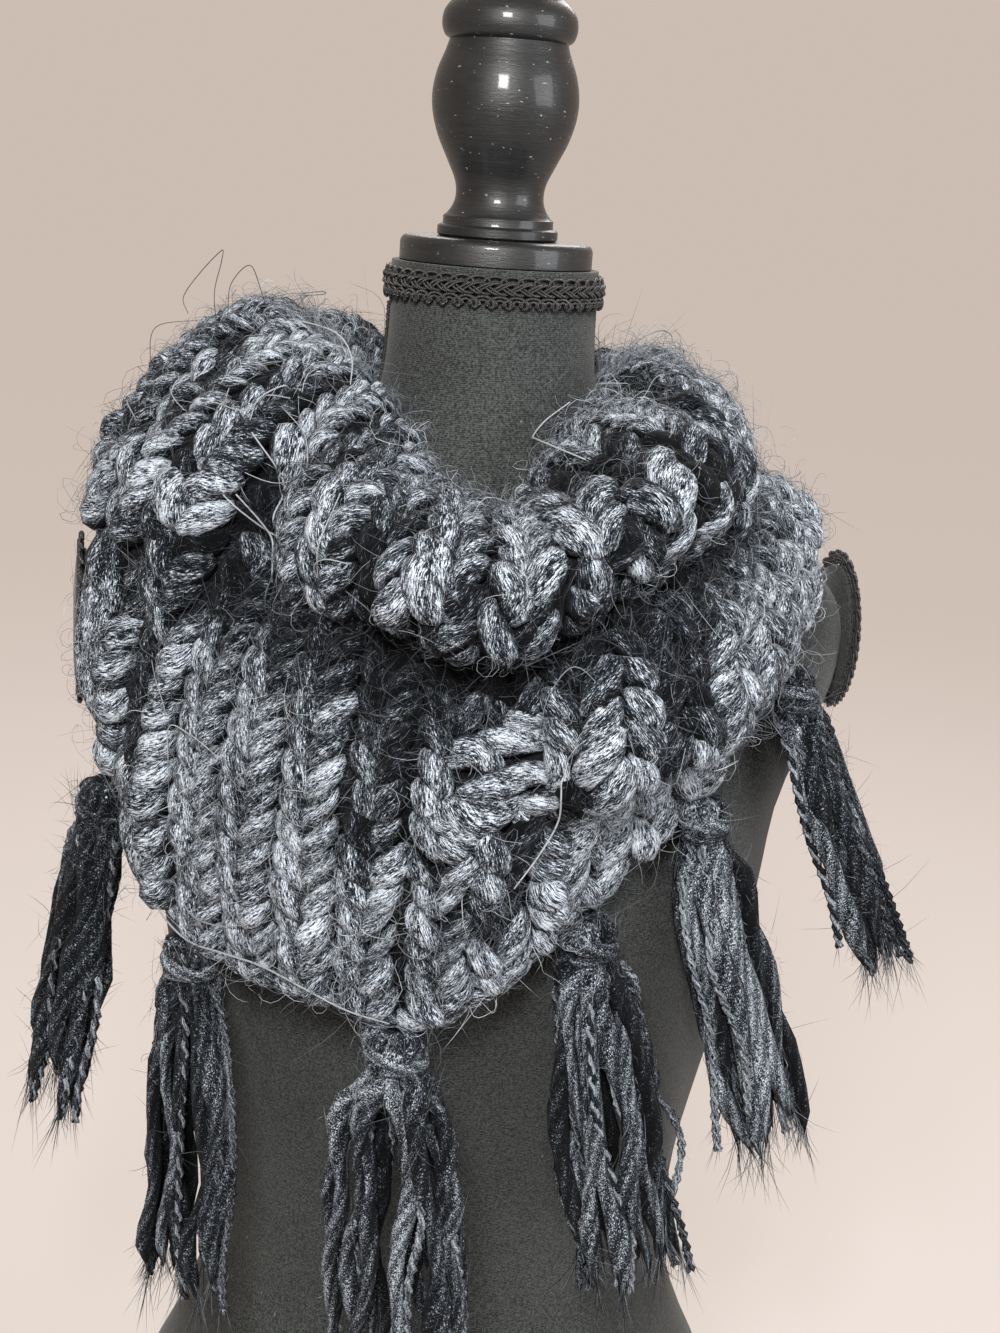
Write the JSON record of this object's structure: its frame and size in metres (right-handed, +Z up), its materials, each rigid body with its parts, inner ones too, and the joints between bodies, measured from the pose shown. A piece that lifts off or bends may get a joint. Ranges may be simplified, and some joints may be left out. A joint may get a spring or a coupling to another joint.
{
  "type": "knitted cowl scarf on a dress form",
  "caption": "Chunky hand-knit cowl scarf with a rolled collar, a pointed front and a tasselled hem, worn on a limbless fabric-covered dress form with a turned wooden finial.",
  "frame": {"origin": "centre of the form's flat underside, where it rests", "axes": "+Z up; -Y is the form's front; -X is the wearer's right"},
  "size_m": [0.4461, 0.3469, 0.8816],
  "materials": {
    "yarn": "super-bulky brushed wool-blend yarn, slate grey with lighter and darker strands",
    "form_fabric": "fine black woven cloth stretched over the form",
    "braid": "black gimp braid with small loops",
    "painted_wood": "turned wood painted black, satin, with faint brush marks"
  },
  "bodies": {
    "root": {"form_base_board": "painted_wood", "form_torso": "form_fabric", "neck_trim": "braid", "neck_disc": "painted_wood", "finial": "painted_wood", "arm_plate_right": "form_fabric", "arm_plate_left": "form_fabric", "arm_trim_right": "braid", "arm_trim_left": "braid", "scarf_roll": "yarn", "scarf_bib": "yarn", "tassel_front_centre": "yarn", "tassel_front_right": "yarn", "tassel_side_right": "yarn", "tassel_shoulder_right": "yarn", "tassel_front_left": "yarn", "tassel_side_left": "yarn", "tassel_shoulder_left": "yarn", "tassel_back_left": "yarn", "tassel_back_centre_left": "yarn", "tassel_back_centre_right": "yarn", "tassel_back_right": "yarn"}
  },
  "joints": []
}
